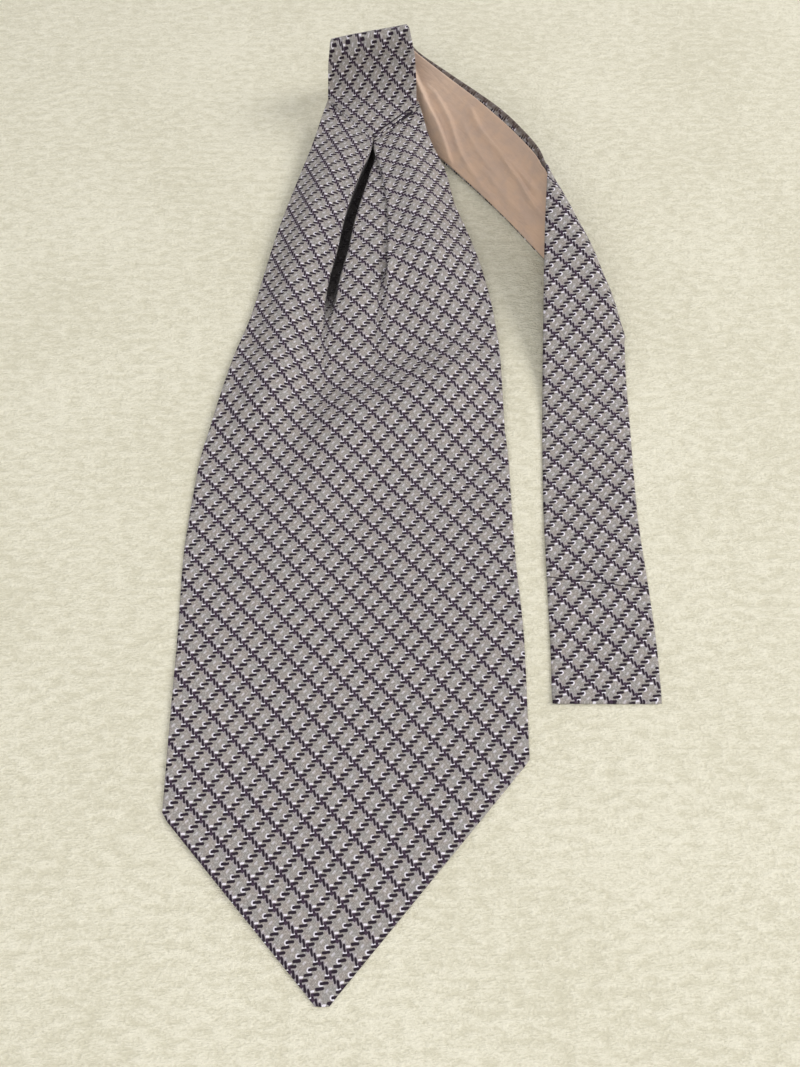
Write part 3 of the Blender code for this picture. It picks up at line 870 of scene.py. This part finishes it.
# A joining seam crosses the end stretch, and along the band's rolled upper edge a dark brown
# line is painted shade on the turned-over outer cloth
seam_ends = []
for at, edge, reach in zip(SEAM_AT, (0, -1), (-SEAM_REACH, SEAM_REACH)):
    plan_y, cloth_y = band_grid[-SEAM_ROWS:, edge, 1], band_cloth[-SEAM_ROWS:, edge, 1]
    seam_ends.append(np.array((turn_slip[-1][0] + reach, np.interp(-at, -plan_y, cloth_y))))
marks.append((*seam_ends, *SEAM_LINE, SHADE_AND_SEAM_DARK))
# Painted shade along the rolled upper edge
rolled_rows = V_ROWS + ROWS_PER_RULING * ROLLED_RULINGS
rolled_ends = [band_cloth[int(row), -1] - (ROLLED_INSET, 0) for row in rolled_rows]
marks.append((*rolled_ends, *ROLLED_SHADE_LINE, ROLLED_EDGE_SHADE))
neckband.data.materials.append(check_finish("neckband_check", BAND_KNOT, marks=marks))
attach(neckband, "root")
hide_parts("neckband_tab", "neckband_back", "neckband_end")

# The V end is sewn down by hand with pale thread near its edge: short stitches on the left arm,
# and longer ones on the right arm, between two lines of painted shade at its edge and along its
# pressed crease.

# Each row of stitches: its arm, its first and last strip, its inset in millimetres, and
# its spacing, length and thickness in metres
STITCH_ROWS = (
    ("left", (1, 13), 0.9, 0.0031, 0.0012, 0.00042),
    ("right", (16, 27), 1.1, 0.0034, 0.0025, 0.00050),
)
THREAD_LILAC = (0.60, 0.54, 0.57, 1)
THREAD_PALE = (0.78, 0.74, 0.78, 1)


def thread_finish():
    """Make the sewing thread's finish: pale lilac with a fine twist."""
    material, shader = new_finish("sewing_thread", 0.7, 0.1)
    twist = read_piece(material, "ShaderNodeTexCoord", "Object").noise(5200, 1.0)
    colour = twist.step(0.35, 0.65).mixed(THREAD_LILAC, THREAD_PALE)
    wear(shader, colour, twist, strength=0.3, distance=0.0001)
    return material


def stitch_tree(finish):
    """Build the nodes that lay one stitch after another along a path."""
    tree = bpy.data.node_groups.new("stitches_along_path", "GeometryNodeTree")
    tree.interface.new_socket("Path", in_out="INPUT", socket_type="NodeSocketGeometry")
    for size in ("Spacing", "Length", "Thickness"):
        tree.interface.new_socket(size, in_out="INPUT", socket_type="NodeSocketFloat")
    tree.interface.new_socket("Stitches", in_out="OUTPUT", socket_type="NodeSocketGeometry")

    def node(kind, inputs=(), **settings):
        """Add a node with its settings, then its sockets' values or links."""
        made = tree.nodes.new(kind)
        for setting, value in settings.items():
            setattr(made, setting, value)
        for socket, value in dict(inputs).items():
            if isinstance(value, bpy.types.NodeSocket):
                tree.links.new(value, made.inputs[socket])
            else:
                made.inputs[socket].default_value = value
        return made

    given = node("NodeGroupInput").outputs
    path = node("GeometryNodeMeshToCurve", {"Mesh": given["Path"]}).outputs["Curve"]
    spacing = {"Curve": path, "Length": given["Spacing"]}
    spaced = node("GeometryNodeResampleCurve", spacing, mode="LENGTH")
    tangent = node("GeometryNodeInputTangent").outputs[0]
    turned = node("FunctionNodeAlignRotationToVector", {"Vector": tangent}, axis="Z")
    bead = node("GeometryNodeMeshUVSphere", {"Segments": 8, "Rings": 6, "Radius": 0.5})
    sizes = {"X": given["Thickness"], "Y": given["Thickness"], "Z": given["Length"]}
    size = node("ShaderNodeCombineXYZ", sizes)
    uneven = node("FunctionNodeRandomValue", {2: 0.84, 3: 1.12, "Seed": 7}, data_type="FLOAT")
    scaled = {0: size.outputs[0], "Scale": uneven.outputs[1]}
    scale = node("ShaderNodeVectorMath", scaled, operation="SCALE")
    stitches = node("GeometryNodeInstanceOnPoints", {
        "Points": spaced.outputs[0], "Instance": bead.outputs["Mesh"],
        "Rotation": turned.outputs[0], "Scale": scale.outputs[0],
    })
    real = node("GeometryNodeRealizeInstances", {"Geometry": stitches.outputs[0]})
    finished = node("GeometryNodeSetMaterial", {"Geometry": real.outputs[0], "Material": finish})
    node("NodeGroupOutput", {"Stitches": finished.outputs[0]})
    return tree


stitches_along_path = stitch_tree(thread_finish())
for arm, (first_column, last_column), inset, spacing, length, thickness in STITCH_ROWS:
    chosen = np.arange(first_column, last_column + 1)
    edge, top = v_edge[chosen], first[chosen]
    slope = np.gradient(edge[:, 1]) / np.gradient(edge[:, 0])
    upwards = inset * np.sqrt(1 + slope ** 2) / np.linalg.norm(top - edge, axis=1)
    on_cloth = edge + (top - edge) * upwards[:, None] + band_normals[1, chosen] * V_CLOTH / 2
    path_mesh = bpy.data.meshes.new("path")
    path_places = ((on_cloth - PLAN_MIDDLE) / 1000).tolist()
    path_mesh.from_pydata(path_places, [(i, i + 1) for i in range(len(chosen) - 1)], [])
    path = bpy.data.objects.new("path", path_mesh)
    bpy.context.collection.objects.link(path)
    modifier = path.modifiers.new("stitches", "NODES")
    modifier.node_group = stitches_along_path
    sizes = {"Spacing": spacing, "Length": length, "Thickness": thickness}
    for socket in stitches_along_path.interface.items_tree:
        if socket.name in sizes:
            modifier[socket.identifier] = sizes[socket.name]
    shown = path.evaluated_get(bpy.context.evaluated_depsgraph_get())
    stitch_mesh = bpy.data.meshes.new_from_object(shown)
    bpy.data.objects.remove(path)
    stitch_mesh.shade_smooth()
    stitches = bpy.data.objects.new(f"v_stitches_{arm}", stitch_mesh)
    bpy.context.collection.objects.link(stitches)
    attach(stitches, "root")

# The lining is a plain peach cloth on the inner face of the neckband. It shows where the
# band comes down behind the tab; the outer cloth is turned over it at both edges.
LINING_CLOTH = 0.6
LINING_RISE = 0.35
LINING_ROWS = 20
LINING_STRIPS = 70
LINING_COLUMNS = ("ruling", "left_inset", "right_inset")
LINING_INSETS = (
    (2.6, 1.5, 1.5), (7, 1.5, 1.2), (9, 1.4, 0.5), (10, 1.4, 0.7), (11, 0.8, 1.6),
    (12, 0.5, 2.5), (13, 0.5, 3.2), (14, 0.5, 3.0), (15, 0.5, 2.1), (16, 0.6, 0.9),
    (18.2, 0.8, 0.8),
)
# Painted light and shade along the lining: the peach is lighter up to the first of these rulings
# and darker from the second
LINING_PAINTED_LIGHT_TO = 9.9
LINING_PAINTED_SHADE_FROM = 12.3

# Wrinkles: each one's line as rulings and shares across, its width on the upper and on
# the lower side, and its height; the width that the shares are of; and how far round its
# two ends, in rulings, it fades
WRINKLES = (
    (((10.2, 0.80), (10.6, 0.66), (11.15, 0.49), (11.7, 0.36), (12.35, 0.18), (12.95, 0)),
     0.8, 4.2, 2.7),
    (((11.05, 0.70), (11.6, 0.59), (12.65, 0.31), (13.95, 0.11), (14.95, 0.04)),
     0.8, 2.6, 1.5),
    (((12.1, 0.86), (12.85, 0.74), (14.65, 0.68), (16.2, 0.67)), 0.8, 3.0, 1.6),
    (((12.2, 0.62), (13.2, 0.46), (14.4, 0.36)), 1.3, 2.4, 0.9),
    (((14.15, 0.63), (15.95, 0.51), (16.8, 0.44)), 0.8, 3.0, 1.5),
    (((13.8, 0.30), (15.2, 0.22), (16.3, 0.2)), 1.2, 2.2, 0.8),
)
LINING_WIDE = 36
WRINKLE_FADES = np.array((-0.4, 0.3))

# The peach and grey peach carry the painted light near the tab; the darker pair is the painted
# shade further down
PEACH = (0.74, 0.565, 0.44, 1)
GREY_PEACH = (0.65, 0.49, 0.39, 1)
SHADED_PEACH = (0.585, 0.405, 0.29, 1)
SHADED_GREY_PEACH = (0.515, 0.37, 0.285, 1)
PEACH_THREAD = (0.74, 0.56, 0.44, 1)


def lining_finish(lit_to, shaded_from):
    """Make the lining's finish: smooth peach cloth with painted light near the tab and painted
    shade further down, and puckers.
    """
    material, shader = new_finish("lining_peach", 0.6, 0.25)
    cloth = read_piece(material, "ShaderNodeUVMap", "UV", uv_map="cloth")
    # Painted light near the tab fades into painted shade further down
    painted_shade_share = cloth.part(1).step(lit_to, shaded_from)
    cloudy = cloth.noise(0.09, 3.0, 0.6).step(0.35, 0.65)
    threads = cloth.noise(3.2, 2.0, 0.6)
    puckers = cloth.vector("MULTIPLY", (1, 0.3, 1)).noise(0.42, 3.0, 0.55)
    colour = painted_shade_share.mixed(PEACH, SHADED_PEACH)
    greyer = painted_shade_share.mixed(GREY_PEACH, SHADED_GREY_PEACH)
    colour = cloudy.mixed(greyer, colour)
    colour = (threads.step(0.3, 0.8) * 0.2).mixed(colour, PEACH_THREAD)
    wear(shader, colour, threads * 0.12 + puckers, strength=0.6, distance=0.0011)
    return material


insets = columns(LINING_COLUMNS, LINING_INSETS)
lining_ends = insets["ruling"][0], insets["ruling"][-1]
lining_grid, lining_width, q = band_rows(*lining_ends, LINING_ROWS, LINING_STRIPS)
lining_stops = np.linspace(*lining_ends, len(lining_grid))
left_inset = smooth(insets["ruling"], insets["left_inset"], lining_stops)
right_inset = smooth(insets["ruling"], insets["right_inset"], lining_stops)
across = lining_grid[:, -1] - lining_grid[:, 0]
span = np.linalg.norm(across, axis=1, keepdims=True)
across /= span
lining_grid += across[:, None] * left_inset[:, None, None] * (1 - q)[None, :, None]
lining_grid -= across[:, None] * right_inset[:, None, None] * q[None, :, None]
left_run = run_length(lining_grid[:, 0])
right_run = run_length(lining_grid[:, -1])
lining_cloth = np.stack([
    lining_width[:, None] * (q - 0.5)[None, :],
    left_run[:, None] + (right_run - left_run)[:, None] * q[None, :],
], -1)
normals = np.cross(np.gradient(lining_grid, axis=1), np.gradient(lining_grid, axis=0))
normals /= np.linalg.norm(normals, axis=2, keepdims=True)
ruling, side = np.meshgrid(lining_stops, q, indexing="ij")
inner = np.sin(math.pi * np.clip(side, 0, 1)) ** 0.6


def wrinkle(line, steep, gentle, height):
    """Raise one wrinkle along a line of places on the lining."""
    rulings, shares = np.array(line, float).T
    middle = round_through(rulings, shares, np.clip(ruling, rulings[0], rulings[-1]))
    away = (side - middle) * LINING_WIDE
    profile = np.exp(-(away / np.where(away > 0, steep, gentle)) ** 2)
    ends = soft_step(*(rulings[0] + WRINKLE_FADES), ruling)
    ends *= 1 - soft_step(*(rulings[-1] + WRINKLE_FADES), ruling)
    return height * profile * ends


relief = sum(wrinkle(*row) for row in WRINKLES)
lift = BAND_CLOTH / 2 + LINING_RISE + LINING_CLOTH / 2 + relief * inner
lining_grid -= normals * lift[:, :, None]
lining = shell("neckband_lining_cloth", lining_grid, lining_cloth, LINING_CLOTH)
middle_run = lining_cloth[:, LINING_STRIPS // 2, 1]
lit_to, shaded_from = np.interp((LINING_PAINTED_LIGHT_TO, LINING_PAINTED_SHADE_FROM), lining_stops, middle_run)
lining.data.materials.append(lining_finish(lit_to, shaded_from))
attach(lining, "root")
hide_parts("neckband_lining")
